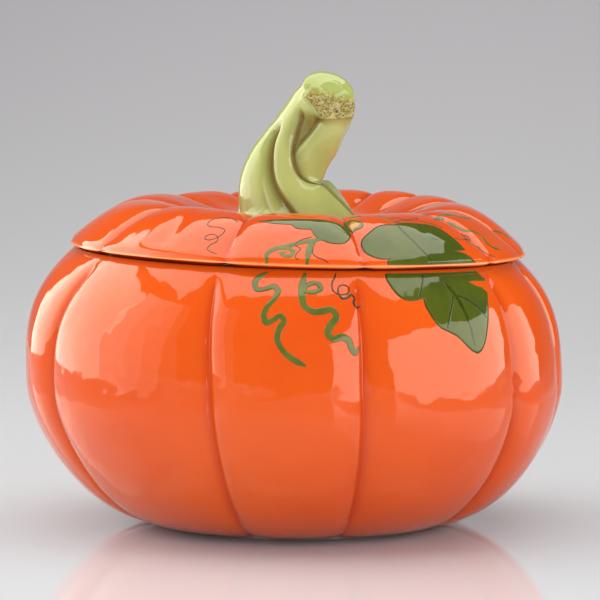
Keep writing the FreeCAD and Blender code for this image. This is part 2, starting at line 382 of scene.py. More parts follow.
def bowl_point(s, line, turn, share, proud=0.0, creased=1.0):
    """Point on the ribbed bowl. From the profile it goes inwards, square to the slope, by the
    rib depth times the power of the distance from the crown, and by the crease."""
    radius, height, groove, out, up = (read(line, key, share)
                                       for key in ("radius", "height", "groove", "out", "up"))
    azimuth, across, width = rib_at(turn, bowl_climb(s, height))
    near = from_groove(across, width, radius)
    below_seat = s.rim_height - np.tan(s.rim_tilt) * radius * np.sin(azimuth) - height
    tooled = ease(below_seat, 2.5 * MM, 9 * MM) * (0.35 + 0.65 * ease(height, 3 * MM, 16 * MM))
    depth = s.rib_depth * groove * np.abs(2 * across - 1) ** s.rib_power
    depth = depth + creased * s.crease_depth * tooled * crease(near, s.crease_width)
    depth = depth - s.waviness * clay_wave(azimuth, height, 5) * ease(height, 4 * MM, 20 * MM)
    shift = s.lean * (s.belly_height - height) / s.belly_height
    reach = radius - out * (depth - proud)
    return np.stack([shift + reach * np.sin(azimuth), -reach * np.cos(azimuth),
                     height - up * (depth - proud)], -1)


def bowl_share_at(line, height):
    """Share of the bowl's profile at a height."""
    return np.interp(height, line["height"], line["share"])


def share_below_seat(s, line, turn, below, proud=0.0):
    """Share of the profile at which the bowl lies this far below the tilted seat."""
    level = np.full_like(turn, s.rim_height - below)
    for _ in range(5):
        share = bowl_share_at(line, level)
        found = bowl_point(s, line, turn, share, proud)
        wanted = s.rim_height - below - np.tan(s.rim_tilt) * (found[:, 0] - s.rim_shift)
        level = level + wanted - found[:, 2]
    return bowl_share_at(line, level)


def on_seat(s, local):
    """Points given in the seat's own frame, tilted with it and put in their place."""
    x, y, z = local[..., 0], local[..., 1], local[..., 2]
    c, d = np.cos(s.rim_tilt), np.sin(s.rim_tilt)
    return np.stack([s.rim_shift + c * x + d * z, y, s.rim_height - d * x + c * z], -1)


def off_seat(s, points):
    """The reverse of on_seat."""
    x, y, z = points[..., 0] - s.rim_shift, points[..., 1], points[..., 2] - s.rim_height
    c, d = np.cos(s.rim_tilt), np.sin(s.rim_tilt)
    return np.stack([c * x - d * z, y, d * x + c * z], -1)


def seat_ring(s, turn, radius, height):
    """Round ring in the seat's frame, with its points at the azimuths of the ribs."""
    azimuth = rib_at(turn, 1.0)[0]
    radius = radius + 0 * azimuth
    return on_seat(s, np.stack([radius * np.sin(azimuth), -radius * np.cos(azimuth),
                                height + 0 * azimuth], -1))


def make_bowl(s, glaze):
    """Bowl as one closed surface: underside, ribbed outside, rounded rim, seat, ledge and lining."""
    line = bowl_line(s)
    turn = rib_turns(s.rib_columns)
    base = bowl_point(s, line, turn, 0.0 * turn)
    middle = np.array([s.lean * (1 - s.foot_height / s.belly_height), 0, s.foot_height])
    under = span(middle + (base - middle) * 0.05, base, 5)[:-1]
    rim_round, soft = 1.4 * MM, 0.8 * MM
    edge = share_below_seat(s, line, turn, rim_round)
    outside = np.stack([bowl_point(s, line, turn, edge * k) for k in np.linspace(0, 1, BOWL_ROWS)])
    corner = bowl_point(s, line, turn, share_below_seat(s, line, turn, 0.0))
    seat_out = seat_ring(s, turn, s.rim_radius - rim_round - 0.5 * MM, 0.0)
    seat_in = seat_ring(s, turn, s.mouth_radius + soft, 0.0)
    mouth_top = seat_ring(s, turn, s.mouth_radius, -soft)
    mouth_low = seat_ring(s, turn, s.mouth_radius, soft - s.ledge)
    ledge_in = seat_ring(s, turn, s.mouth_radius + soft, -s.ledge)
    wall_corner = bowl_point(s, line, turn, share_below_seat(s, line, turn, s.ledge, -s.wall), -s.wall, 0.0)
    ledge_out = ledge_in + (wall_corner - ledge_in) * 0.35
    inner = share_below_seat(s, line, turn, s.ledge + 5 * MM, -s.wall)
    lining = np.stack([bowl_point(s, line, turn, inner * k, -s.wall, 0.0)
                       for k in np.linspace(1, 0.0, BOWL_LINING_ROWS)])
    floor = lining[-1]
    centre = middle + [0, 0, s.wall]
    bottom = span(floor, centre + (floor - centre) * 0.05, 7)[1:]
    parts = [under, outside, bend(outside[-1], corner, seat_out, 5), span(seat_out, seat_in, 3),
             bend(seat_in, seat_ring(s, turn, s.mouth_radius, 0.0), mouth_top, 4),
             span(mouth_top, mouth_low, 2),
             bend(mouth_low, seat_ring(s, turn, s.mouth_radius, -s.ledge), ledge_in, 4),
             span(ledge_in, ledge_out, 2), bend(ledge_out, wall_corner, lining[0], 6), lining, bottom]
    rows = np.concatenate(parts)
    counts = [len(part) for part in parts]
    outer = counts[0] + counts[1] + counts[2]
    inside = np.zeros(len(rows))
    inside[outer:] = 1.0
    azimuth, across, width = rib_at(turn, 0.3)
    near = from_groove(across, width, s.radius)
    pool = np.zeros(rows.shape[:2])
    pool[:outer] = np.exp(-near / POOL_REACH) * ease(s.rim_height - rows[:outer, :, 2], 3 * MM, 10 * MM)
    # Painted shade: the rows round the rim and seat, in the gap under the lid's lip, are tinted near
    # black-red
    gap_shade = np.zeros(len(rows))
    gap_shade[outer - counts[2] + 2:outer + 2] = 1.0
    return make_piece("bowl_clay", [rows], glaze, "bowl",
                      tints={"pool": pool, "thin_glaze_and_highlight": 0.0, "lining": inside[:, None],
                             "gap_shade": gap_shade[:, None]})


def lid_line(s, lid):
    """Profile of the lid in the seat's frame: rolled lip, shallow cove, dome and hollow middle."""
    edge = s.rim_radius + lid.overhang
    lip = [(edge - 4.6 * MM, 0, 0), (edge - 3.2 * MM, 0.1 * MM, 0), (edge - 1.3 * MM, 0.3 * MM, 0),
           (edge, 0.9 * MM, 0), (edge + 0.1 * MM, 2.1 * MM, 0.05), (edge - 0.9 * MM, 2.9 * MM, 0.1),
           (edge - 1.2 * MM, 4.4 * MM, 0.15), (edge - 3.0 * MM, 6.4 * MM, 0.3)]
    k = np.arange(1, 6)[:, None] / 6
    rise = np.hstack([edge + (lid.crest_radius - edge) * k,
                      lid.lip + (lid.crest_height - lid.lip) * np.sin(np.pi / 2 * k) ** 0.93, np.sqrt(k)])
    k = np.arange(7)[:, None] / 6
    fall = np.hstack([lid.crest_radius + (lid.pad_radius - lid.crest_radius) * k,
                      lid.pad_height + (lid.crest_height - lid.pad_height) * (1 + np.cos(np.pi * k)) / 2,
                      1 - k])
    pad = [(lid.pad_radius - 2 * MM * j, lid.pad_height, 0) for j in (1, 2, 3)]
    pad.append((15.5 * MM, lid.pad_height, 0))
    return profile_line(np.concatenate([lip, rise, fall, pad]))


# Gap under the lip by azimuth in degrees, in millimetres, and a short crease of the lid alone
LIP_GAP = ((-180, 0.4), (-120, 0.3), (-90, 0.3), (-58, 0.8), (-32, 1.0), (-14, 0.6), (5, 0.35),
           (22, 0.3), (36, 0.8), (50, 0.2), (64, 0.4), (80, 0.2), (120, 0.4), (180, 0.4))
SHORT_CREASE = math.radians(-37)
# The dome stands a little higher behind: azimuth and reach in degrees, height in millimetres
BACK_SWELL = (138.0, 44.0, 3.2)


def lid_point(s, lid, line, turn, share, proud=0.0, creased=1.0):
    """Point on the ribbed lid, tilted with the seat. Ribs and creases go inwards as on the bowl, and
    the lower edge of the lip lifts off the rim by the gap."""
    radius, height, groove, out, up = (read(line, key, share)
                                       for key in ("radius", "height", "groove", "out", "up"))
    azimuth, across, width = rib_at(turn, 1.0)
    near = from_groove(across, width, radius)
    tooled = ease(radius, 30 * MM, 62 * MM) * (1 - 0.45 * ease(radius, 104 * MM, 110 * MM))
    depth = lid.rib_depth * groove * np.abs(2 * across - 1) ** s.rib_power * ease(radius, 30 * MM, 95 * MM)
    depth = depth + creased * lid.crease_depth * tooled * crease(near, s.crease_width)
    beside = np.abs(azimuth - SHORT_CREASE) * radius
    short = ease(radius, 74 * MM, 84 * MM) * (1 - ease(radius, 103 * MM, 108 * MM))
    depth = depth + creased * 0.9 * MM * short * crease(beside, s.crease_width)
    depth = depth - s.waviness * clay_wave(azimuth, 0.6 * radius, 8) * ease(groove, 0.1, 0.6)
    degrees = (np.degrees(azimuth) + 180) % 360 - 180
    lift = trace(LIP_GAP, degrees) * MM * ease(radius, 105 * MM, 109 * MM) * (1 - ease(height, 0, 2.6 * MM))
    behind = (degrees - BACK_SWELL[0] + 180) % 360 - 180
    lift = lift + (BACK_SWELL[2] * MM * np.exp(-(behind / BACK_SWELL[1]) ** 2)
                   * np.exp(-((radius - lid.crest_radius) / (17 * MM)) ** 2))
    reach = radius - out * (depth - proud)
    return on_seat(s, np.stack([reach * np.sin(azimuth), -reach * np.cos(azimuth),
                                height + lift - up * (depth - proud)], -1))


def lid_share_at(line, radius):
    """Share of the profile at a radius, on the way from the lip to the pad."""
    widest = int(np.argmax(line["radius"]))
    return np.interp(-radius, -line["radius"][widest:], line["share"][widest:])


def make_lid(s, lid, glaze):
    """Lid as one surface that closes on itself through the vent under the stem."""
    line = lid_line(s, lid)
    turn = rib_turns(s.rib_columns)
    travel = np.linspace(0, 1, LID_ROWS)
    crowd = np.sort(np.concatenate([travel, np.linspace(0, 0.10, 14)[1:-1]]))
    shares = np.interp(crowd, line["travel"], line["share"])
    outside = np.stack([lid_point(s, lid, line, turn, share + 0 * turn) for share in shares])
    vent, top, low = lid.vent_radius, lid.pad_height, lid.pad_height - lid.wall
    vent_top = seat_ring(s, turn, vent, top)
    vent_low = seat_ring(s, turn, vent, low)
    pad_rows = span(outside[-1], vent_top, 3)[1:-1]
    from_pad = lid_share_at(line, lid.pad_radius - 3 * MM)
    to_wall = lid_share_at(line, s.rim_radius - lid.bearing - 1 * MM)
    lining = np.stack([lid_point(s, lid, line, turn, share + 0 * turn, -lid.wall, 0.0)
                       for share in np.linspace(from_pad, to_wall, LID_LINING_ROWS)])
    seat_in = s.rim_radius - lid.bearing
    bearing_in = seat_ring(s, turn, seat_in + 0.6 * MM, 0.0)
    wall_low = seat_ring(s, turn, seat_in, 1.2 * MM)
    parts = [outside, pad_rows, span(vent_top, vent_low, 2), span(vent_low, lining[0], 3)[1:-1],
             lining, bend(lining[-1], seat_ring(s, turn, seat_in, 3 * MM), wall_low, 3),
             wall_low[None], bearing_in[None], span(bearing_in, outside[0], 2)[1:-1]]
    rows = np.concatenate(parts)
    local_height = read(line, "height", shares)
    local_radius = read(line, "radius", shares)
    # Lip line: glaze thinned on the edge, and also a painted highlight along the lip
    lip = np.exp(-((local_height - 1.9 * MM) / (0.55 * MM)) ** 2) * (local_radius > 106 * MM)
    azimuth, across, width = rib_at(turn, 1.0)
    near = from_groove(across, width, local_radius[:, None])
    pool = np.zeros(rows.shape[:2])
    pool[:len(outside)] = (np.exp(-near / POOL_REACH)
                           * ease(local_radius, 40 * MM, 70 * MM)[:, None])
    thin_glaze_and_highlight = np.zeros(len(rows))
    thin_glaze_and_highlight[:len(outside)] = lip
    inside = np.zeros(len(rows))
    inside[len(outside) + len(pad_rows):] = 1.0
    # Painted shade: the lowest rows of the lip, in the gap above the bowl's rim, are tinted near black-red
    gap_shade = np.zeros(len(rows))
    gap_shade[:len(outside)] = 1 - ease(local_height, 0.4 * MM, 0.9 * MM)
    return make_piece("lid_clay", [rows], glaze, "lid", loop=True,
                      tints={"pool": pool, "thin_glaze_and_highlight": thin_glaze_and_highlight[:, None], "lining": inside[:, None],
                             "gap_shade": gap_shade[:, None]})


def make_flange(s, lid, glaze):
    """Ring that hangs from the lid into the mouth: a rounded profile carried round the seat."""
    line = lid_line(s, lid)
    turn = rib_turns(s.rib_columns)
    outer = s.mouth_radius - lid.flange_clearance
    inner = outer - lid.flange_wall
    roof_out = read(line, "height", lid_share_at(line, outer)) - 0.8 * lid.wall
    roof_in = read(line, "height", lid_share_at(line, inner)) - 0.8 * lid.wall
    low, soft = -lid.flange_depth, 1.4 * MM
    ring = [seat_ring(s, turn, outer, level) for level in (roof_out, 0.3 * roof_out, low / 2, low + soft)]
    under = bend(ring[-1], seat_ring(s, turn, outer, low), seat_ring(s, turn, outer - soft, low), 4)
    back = seat_ring(s, turn, inner + soft, low)
    up = bend(back, seat_ring(s, turn, inner, low), seat_ring(s, turn, inner, low + soft), 4)
    rise = [seat_ring(s, turn, inner, level) for level in (low + soft, low / 2, 0.3 * roof_in, roof_in)]
    rows = np.concatenate([np.stack(ring), under, seat_ring(s, turn, outer - soft, low)[None],
                           back[None], up, np.stack(rise)])
    return make_piece("lid_flange_clay", [rows], glaze, "lid", loop=True,
                      tints={"lining": 1.0, "pool": 0.0, "thin_glaze_and_highlight": 0.0, "gap_shade": 0.0})


# Stem. Its path runs from root to cut end: x and y in millimetres, and a share of the height. Its
# swell is a share of the length and one of the root radius.

STEM_PATH = ((0.0, 0.0, 0.0), (-2.5, 0.0, 0.07), (-7.0, 0.0, 0.21), (-6.8, 0.0, 0.38),
             (-1.5, -1.0, 0.54), (4.5, -2.5, 0.69), (8.5, -5.0, 0.83), (11.5, -8.5, 0.92),
             (13.4, -12.0, 0.98))
STEM_SWELL = ((0.0, 1.0), (0.07, 0.89), (0.21, 0.755), (0.38, 0.635), (0.54, 0.575), (0.69, 0.55),
              (0.83, 0.52), (0.93, 0.49), (1.0, 0.47))
# Corners of the cut end: azimuth in its own plane, degrees, and distance from its middle, mm
CUT_CORNERS = ((-61.0, 14.2), (-3.5, 17.2), (57.0, 15.9), (95.0, 13.1), (156.0, 14.9), (203.0, 14.7),
               (243.0, 14.5), (299.0, 14.2))
STEM_COLUMNS, STEM_ROWS, ROUNDING_ROWS, FACE_ROWS = 260, 200, 5, 46
PORES = 260
# Crevices: (share of the length, azimuth in degrees) route, depth, reach on the left and on the
# right in millimetres, and the shares at which it starts and ends
CREVICES = (
    (((0.0, 3.0), (0.16, -7.0), (0.36, -28.0), (0.50, -50.0), (0.66, -66.0)), 3.6, 5.0, 1.5, -0.2, 0.68),
    (((0.0, 66.0), (0.083, 59.0), (0.19, 48.0), (0.28, 31.0), (0.385, 12.0), (0.51, -9.0), (0.656, -26.0),
      (0.76, -34.0), (0.90, -46.0)),
     3.2, 1.2, 4.5, -0.2, 0.94),
    (((0.46, -8.0), (0.62, -6.0), (0.75, -3.0), (0.88, -2.0), (1.0, -3.0)), 3.2, 4.0, 1.1, 0.46, 1.10),
    (((0.0, -20.0), (0.16, -27.0), (0.30, -35.0)), 1.0, 1.6, 1.2, -0.2, 0.32),
    (((0.0, 140.0), (0.5, 88.0), (1.0, 50.0)), 2.2, 2.5, 2.0, -0.2, 0.62),
    (((0.0, 160.0), (0.5, 108.0), (1.0, 66.0)), 2.6, 2.5, 2.5, -0.2, 0.86),
    (((0.0, 205.0), (0.5, 150.0), (1.0, 108.0)), 2.4, 2.0, 3.0, -0.2, 0.80),
    (((0.0, 248.0), (0.5, 196.0), (1.0, 150.0)), 2.6, 3.0, 2.0, -0.2, 0.90),
    (((0.0, 292.0), (0.5, 240.0), (1.0, 196.0)), 2.0, 2.5, 2.5, -0.2, 0.84),
)
# Rounded swellings and hollows: azimuth, share, rise, reach round and along in millimetres, and
# how much brown glaze pools there
SWELLINGS = ((-17.0, 0.74, -2.6, 6.5, 14.0, 0.8), (86.0, 0.205, -6.3, 11.0, 11.0, 0.0),
             (62.0, 0.02, 3.0, 8.0, 4.0, 0.0), (-60.0, 0.25, 0.8, 9.0, 12.0, 0.0),
             (-95.0, 0.08, 0.6, 9.0, 8.0, 0.0), (34.0, 0.75, 0.8, 7.0, 14.0, 0.0))


def stem_frames(stem, lid, share):
    """Middles and turning matrices along the stem: the shortest turn that takes +Z to its axis."""
    poles = np.array(STEM_PATH) * [MM, MM, stem.height] + [0, 0, lid.pad_height]
    middles = along(poles, share)
    step = 1e-3
    axes = along(poles, np.minimum(share + step, 1)) - along(poles, np.maximum(share - step, 0))
    upright = np.array([0, 0, 1.0])
    blend = ease(share, 0.0, 0.18)[:, None]
    axes = axes / np.linalg.norm(axes, axis=1)[:, None] * blend + upright * (1 - blend)
    axes = axes / np.linalg.norm(axes, axis=1)[:, None]
    hinge = np.cross(upright, axes)
    zero = np.zeros(len(share))
    skew = np.stack([np.stack([zero, -hinge[:, 2], hinge[:, 1]], -1),
                     np.stack([hinge[:, 2], zero, -hinge[:, 0]], -1),
                     np.stack([-hinge[:, 1], hinge[:, 0], zero], -1)], 1)
    turns = np.eye(3) + skew + skew @ skew / (1 + axes[:, 2])[:, None, None]
    return middles, turns, axes


def stem_radius(stem, azimuth, share):
    """Radius round the stem, and how deep in a crevice each point lies, 0 to 1.

    The swelling radius less every crevice, an exponential V that reaches further on one side, and
    plus every swelling, a bell curve round and along."""
    swell = trace(STEM_SWELL, share) * stem.root_radius
    radius = swell + 0 * azimuth
    deep = 0 * radius
    for course, depth, left, right, start, end in CREVICES:
        middle = np.radians(trace(course, share))
        away = ((azimuth - middle + np.pi) % (2 * np.pi) - np.pi) * swell
        blunt = 0.35 * MM
        reach = np.where(away < 0, left, right) * MM
        fall = np.exp((blunt - np.hypot(away, blunt)) / reach)
        live = ease(share, start, start + 0.16) * (1 - ease(share, end - 0.14, end))
        radius = radius - stem.crevice * depth * MM * fall * live
        deep = np.maximum(deep, fall * live * min(1.0, depth / 2.5))
    for turn, place, rise, wide, long, brown in SWELLINGS:
        away = ((azimuth - math.radians(turn) + np.pi) % (2 * np.pi) - np.pi) * swell
        along_it = (share - place) * stem.height * 1.15
        bump = np.exp(-(away / (wide * MM)) ** 2 - (along_it / (long * MM)) ** 2)
        radius = radius + rise * MM * bump
        deep = np.maximum(deep, brown * bump)
    cut = cut_outline(azimuth)
    return radius + (cut - radius) * ease(share, 0.88, 1.0), deep


def cut_outline(azimuth):
    """Distance from the middle of the cut end to its outline at each azimuth: straight sides
    between the corners below, and a smooth curve through them above."""
    corner = np.radians(np.array([c[0] for c in CUT_CORNERS]))
    reach = np.array([c[1] for c in CUT_CORNERS]) * MM
    azimuth = (azimuth - corner[0]) % (2 * np.pi) + corner[0]
    k = np.clip(np.searchsorted(corner, azimuth, side="right") - 1, 0, len(corner) - 2)
    a, b, p, q = corner[k], corner[k + 1], reach[k], reach[k + 1]
    straight = p * q * np.sin(b - a) / (p * np.sin(azimuth - a) + q * np.sin(b - azimuth))
    smooth = trace(np.stack([corner, reach], -1), azimuth)
    upper = ease(-np.cos(azimuth - math.radians(15)), -0.1, 0.35)
    return straight + (smooth - straight) * upper


def make_stem(s, lid, stem, glaze):
    """Twisted stem: fluted rings along a leaning path, closed by a flat pitted cut."""
    around = np.linspace(0, 2 * np.pi, STEM_COLUMNS, endpoint=False)[None, :]
    share = np.linspace(0, 1, STEM_ROWS)
    middles, turns, axes = stem_frames(stem, lid, share)
    radius, deep = stem_radius(stem, around, share[:, None])
    flat = np.stack([radius * np.sin(around), -radius * np.cos(around), 0 * radius], -1)
    side = middles[:, None] + np.einsum("kij,knj->kni", turns, flat)
    middle, axis = middles[-1], axes[-1]
    rim = side[-1]
    out = rim - middle
    facing = np.cos(around[0] - math.radians(20))
    soft = (0.5 + 6.5 * ease(-facing, -0.1, 0.7))[:, None] * MM
    away = out / np.linalg.norm(out, axis=1)[:, None]
    rounding = np.stack([rim - away * soft * (1 - math.cos(a)) + axis * 0.35 * soft * math.sin(a)
                         for a in np.linspace(0, np.pi / 2, ROUNDING_ROWS + 1)[1:]])
    inner = rounding[-1] - middle
    across, up = turns[-1][:, 0], -turns[-1][:, 1]
    draw = np.random.default_rng(12)
    pores = draw.uniform(-15 * MM, 15 * MM, (PORES, 2))
    size = draw.uniform(0.35, 0.85, PORES) * MM
    face = []
    pitted = []
    for k in np.linspace(1, 0.03, FACE_ROWS)[1:]:
        ring = inner * k
        u, v = ring @ across, ring @ up
        gap = np.hypot(u[:, None] - pores[:, 0], v[:, None] - pores[:, 1]) / size
        low = ease(v + 0.25 * u, -4.5 * MM, 2.5 * MM)
        pits = np.exp(-gap ** 2).sum(1).clip(0, 1.3) * low
        sunk = stem.pit_depth * pits + 0.4 * MM * low * (1 - k)
        face.append(rounding[-1].mean(0) + ring - sunk[:, None] * axis)
        pitted.append(low)
    root = side[0] - [0, 0, 1.0 * MM]
    rows = np.concatenate([root[None], side, rounding, np.stack(face)])
    end_of_side = 1 + STEM_ROWS
    start_of_face = end_of_side + ROUNDING_ROWS
    crevice, cut, pit = np.zeros((3, *rows.shape[:2]))
    crevice[1:end_of_side] = deep
    cut[end_of_side:start_of_face] = 0.5
    cut[start_of_face:] = 1.0
    pit[start_of_face:] = np.stack(pitted)
    return make_piece("stem_clay", [on_seat(s, rows)], glaze, "lid",
                      tints={"crevice": crevice, "cut": cut, "pitted": pit})


# Finishes


def node(tree, kind, options=None, **sockets):
    """Add a shader node; a named socket takes a value, or a link from another socket."""
    made = tree.nodes.new("ShaderNode" + kind)
    for key, value in (options or {}).items():
        setattr(made, key, value)
    for key, value in sockets.items():
        socket = made.inputs[key.replace("_", " ")]
        if isinstance(value, bpy.types.NodeSocket):
            tree.links.new(value, socket)
        else:
            socket.default_value = value
    return made


def mixed(tree, share, first, second):
    """Colour that goes from first to second as share goes from 0 to 1."""
    made = tree.nodes.new("ShaderNodeMix")
    made.data_type = "RGBA"
    sockets = {socket.identifier: socket for socket in made.inputs}
    for key, value in (("Factor_Float", share), ("A_Color", first), ("B_Color", second)):
        if isinstance(value, bpy.types.NodeSocket):
            tree.links.new(value, sockets[key])
        else:
            sockets[key].default_value = value
    return {socket.identifier: socket for socket in made.outputs}["Result_Color"]


def tint(tree, name):
    """Value of a piece's own attribute."""
    return node(tree, "Attribute", {"attribute_name": name}).outputs["Fac"]


def scaled(tree, value, low, high, to_low=0.0, to_high=1.0):
    """Value carried from one range to another and kept inside it."""
    made = node(tree, "MapRange", Value=value, From_Min=low, From_Max=high, To_Min=to_low, To_Max=to_high)
    return made.outputs["Result"]


def shaded(colour, factors):
    """Colour with its channels multiplied by one factor, or by one each."""
    return [c * f for c, f in zip(colour, np.broadcast_to(factors, 4).tolist())]


def noise(tree, scale, detail=3.0, stretch=(1, 1, 1)):
    """Cloudy pattern on the object's own coordinates, per metre."""
    place = node(tree, "TexCoord").outputs["Object"]
    place = node(tree, "Mapping", Vector=place, Scale=stretch).outputs["Vector"]
    return node(tree, "TexNoise", Vector=place, Scale=scale, Detail=detail).outputs["Fac"]


GLAZE_IOR = 1.43
GLAZE_ROUGHNESS = 0.055
GLAZE_RIPPLE = (42, 0.9 * MM)           # scale per metre, and height
PAINTED_GAP_SHADE = (0.16, 0.012, 0.003, 1)    # painted shade in the gap where lid and bowl meet
PORE_OCHRE = (0.29, 0.235, 0.047, 1)
PORE_BROWN = (0.10, 0.06, 0.010, 1)
RUBBED_LEAF = (0.42, 0.17, 0.02, 1)     # where the leaf paint is rubbed through


def finish(name, roughness, ior=1.5):
    """Plain material, with its node tree and its shader."""
    material = bpy.data.materials.new(name)
    material.use_nodes = True
    tree = material.node_tree
    shader = tree.nodes["Principled BSDF"]
    shader.inputs["Roughness"].default_value = roughness
    shader.inputs["IOR"].default_value = ior
    return material, tree, shader


def ripple(tree, shader, scale, distance):
    """Fine unevenness of the surface: a bump of this height from soft noise."""
    bump = node(tree, "Bump", Height=noise(tree, scale, 2.0), Distance=distance, Strength=1.0)
    tree.links.new(bump.outputs["Normal"], shader.inputs["Normal"])


def orange_glaze(colours, name):
    """Glossy orange that pools darker in the creases and thins to peach on the edges, with a painted
    highlight on the lid's lip, painted shade in the gap between lid and bowl, and a warm cream lining."""
    material, tree, shader = finish(name, GLAZE_ROUGHNESS, GLAZE_IOR)
    clouds = scaled(tree, noise(tree, 14, 4), 0.35, 0.7)
    colour = mixed(tree, clouds, colours.orange, shaded(colours.orange, (0.93, 0.80, 0.85, 1)))
    colour = mixed(tree, scaled(tree, tint(tree, "pool"), 0.1, 1.0, 0.0, 0.75), colour, colours.deep_orange)
    # Lighter peach on the lip: thinned glaze and a painted highlight
    colour = mixed(tree, scaled(tree, tint(tree, "thin_glaze_and_highlight"), 0.0, 1.0, 0.0, 0.6), colour, colours.thin_orange_and_highlight)
    lining = mixed(tree, scaled(tree, noise(tree, 20, 3), 0.3, 0.75), colours.lining,
                   shaded(colours.lining, (0.93, 0.90, 0.84, 1)))
    colour = mixed(tree, tint(tree, "lining"), colour, lining)
    # Painted shade in the gap between lid and bowl
    colour = mixed(tree, scaled(tree, tint(tree, "gap_shade"), 0.0, 1.0, 0.0, 0.95), colour, PAINTED_GAP_SHADE)
    tree.links.new(colour, shader.inputs["Base Color"])
    ripple(tree, shader, *GLAZE_RIPPLE)
    return material


def stem_glaze(colours):
    """Pale yellow-green glaze, brown in the crevices, lime on the cut end, ochre in its pores."""
    material, tree, shader = finish("stem glaze", 0.09, 1.5)
    streaks = noise(tree, 60, 4, (1, 1, 0.25))
    colour = mixed(tree, scaled(tree, streaks, 0.35, 0.7), colours.stem,
                   shaded(colours.stem, (0.80, 0.86, 0.70, 1)))
    olive = shaded(colours.stem, (0.5, 0.5, 0.35, 1))
    crevice = tint(tree, "crevice")
    colour = mixed(tree, scaled(tree, crevice, 0.15, 0.6, 0.0, 0.8), colour, olive)
    colour = mixed(tree, scaled(tree, crevice, 0.5, 1.0, 0.0, 0.95), colour, colours.stem_brown)
    colour = mixed(tree, tint(tree, "cut"), colour, colours.stem_lime)
    pores = scaled(tree, noise(tree, 1250, 3), 0.36, 0.62)
    ochre = mixed(tree, pores, PORE_OCHRE, PORE_BROWN)
    colour = mixed(tree, tint(tree, "pitted"), colour, ochre)
    tree.links.new(colour, shader.inputs["Base Color"])
    ripple(tree, shader, 160, 0.0003)
    return material


def clay_finish(colours):
    """Bare fired clay: matt, speckled, slightly darker where it has worn."""
    material, tree, shader = finish("bare clay", 0.85)
    speck = scaled(tree, noise(tree, 700, 3), 0.55, 0.72)
    worn = scaled(tree, noise(tree, 45, 3), 0.4, 0.7)
    colour = mixed(tree, worn, colours.clay, shaded(colours.clay, 0.8))
    colour = mixed(tree, speck, colour, shaded(colours.clay, 0.5))
    tree.links.new(colour, shader.inputs["Base Color"])
    ripple(tree, shader, 500, 0.0003)
    return material


# Painted leaves and tendrils. A spot is an azimuth in degrees with, on the lid, a radius in the
# seat's own frame or, on the bowl, a height, both in millimetres.

PAINT_UNDER = 0.28 * MM                 # how deep the paint is sunk in the glaze
LID_DEGREE, BOWL_DEGREE = 1.75, 2.1     # length of a degree round the clay, in millimetres
LINE_STEP, OUTLINE_STEP = 0.45, 0.6     # distance between samples of a route, in millimetres
OUTLINE_WIDTH = 0.38                    # of the dark line round a leaf, in millimetres

# A leaf is a middle and the smooth pieces of its outline, which meet in corners
LID_LEAF = ((36.0, 104.0), (
    ((30.2, 88.8), (27, 88.3), (24.4, 89.2), (20.9, 92.5), (17.2, 97.6), (17.6, 103.8), (19.4, 106.6),
     (21.5, 107.6), (23.7, 107.3)),
    ((23.7, 107.3), (22.5, 108.1), (22.2, 109.1)),
    ((22.2, 109.1), (30, 109.3), (36, 109.3), (43, 109.3), (49.4, 109.3)),
    ((49.4, 109.3), (48.3, 108.2), (46.8, 106.6), (44.4, 105.4), (41.6, 104.8)),
    ((41.6, 104.8), (44.5, 105.0), (47.9, 104.8)),
    ((47.9, 104.8), (47.5, 100.5), (46.6, 97.0), (45.4, 93.6), (43.9, 91.1), (41.6, 89.5), (38.6, 88.4),
     (35, 87.6), (32.2, 87.5), (30.2, 88.8))))
BOWL_LEAF = ((40.0, 126.0), (
    ((22.9, 129.1), (22.5, 127), (22.8, 124.6), (23.5, 121.5), (24.7, 118.7), (26.4, 117.3), (28.4, 117.4),
     (30.3, 118.1)),
    ((30.3, 118.1), (30.1, 115.1), (30.6, 111.5), (31.4, 107.9), (32.6, 104.7), (34.4, 102.7),
     (36.5, 100.2), (38.3, 96.3), (40, 93.2), (41.3, 92.1), (42.6, 93.4), (43.8, 96.4), (45.3, 102),
     (47.1, 108.6), (48.9, 115), (50, 118.2), (49.4, 120.1), (47.4, 121.5), (45.4, 123.8)),
    ((45.4, 123.8), (48.7, 123.8), (51.8, 123.2)),
    ((51.8, 123.2), (52.6, 124), (51.6, 125.6), (51, 127.6)),
    ((51, 127.6), (44, 128), (36, 128.4), (29, 128.8), (22.9, 129.1))))
SMALL_LEAF = ((8.0, 88.0), (
    ((-12.4, 86.1), (-7.1, 88.4), (-2.3, 88.8)),
    ((-2.3, 88.8), (-1.1, 91), (3.5, 92.2)),
    ((3.5, 92.2), (4.5, 96), (6.8, 98.9), (9.7, 100.2), (12.3, 99.4), (13.9, 96.8), (15.2, 92.5)),
    ((15.2, 92.5), (14.9, 90.4), (12.7, 86.6), (9.4, 84.6), (1.9, 83.8), (-5, 84.4), (-12.4, 86.1))))
SIDE_LEAF = ((17.9, 84.5), (
    ((13.8, 87.6), (15.2, 81), (17.4, 78.6), (19.6, 81.4), (20.2, 86.2), (18.9, 89.1)),
    ((18.9, 89.1), (17.1, 88.7), (15.6, 89.8), (13.8, 87.6))))

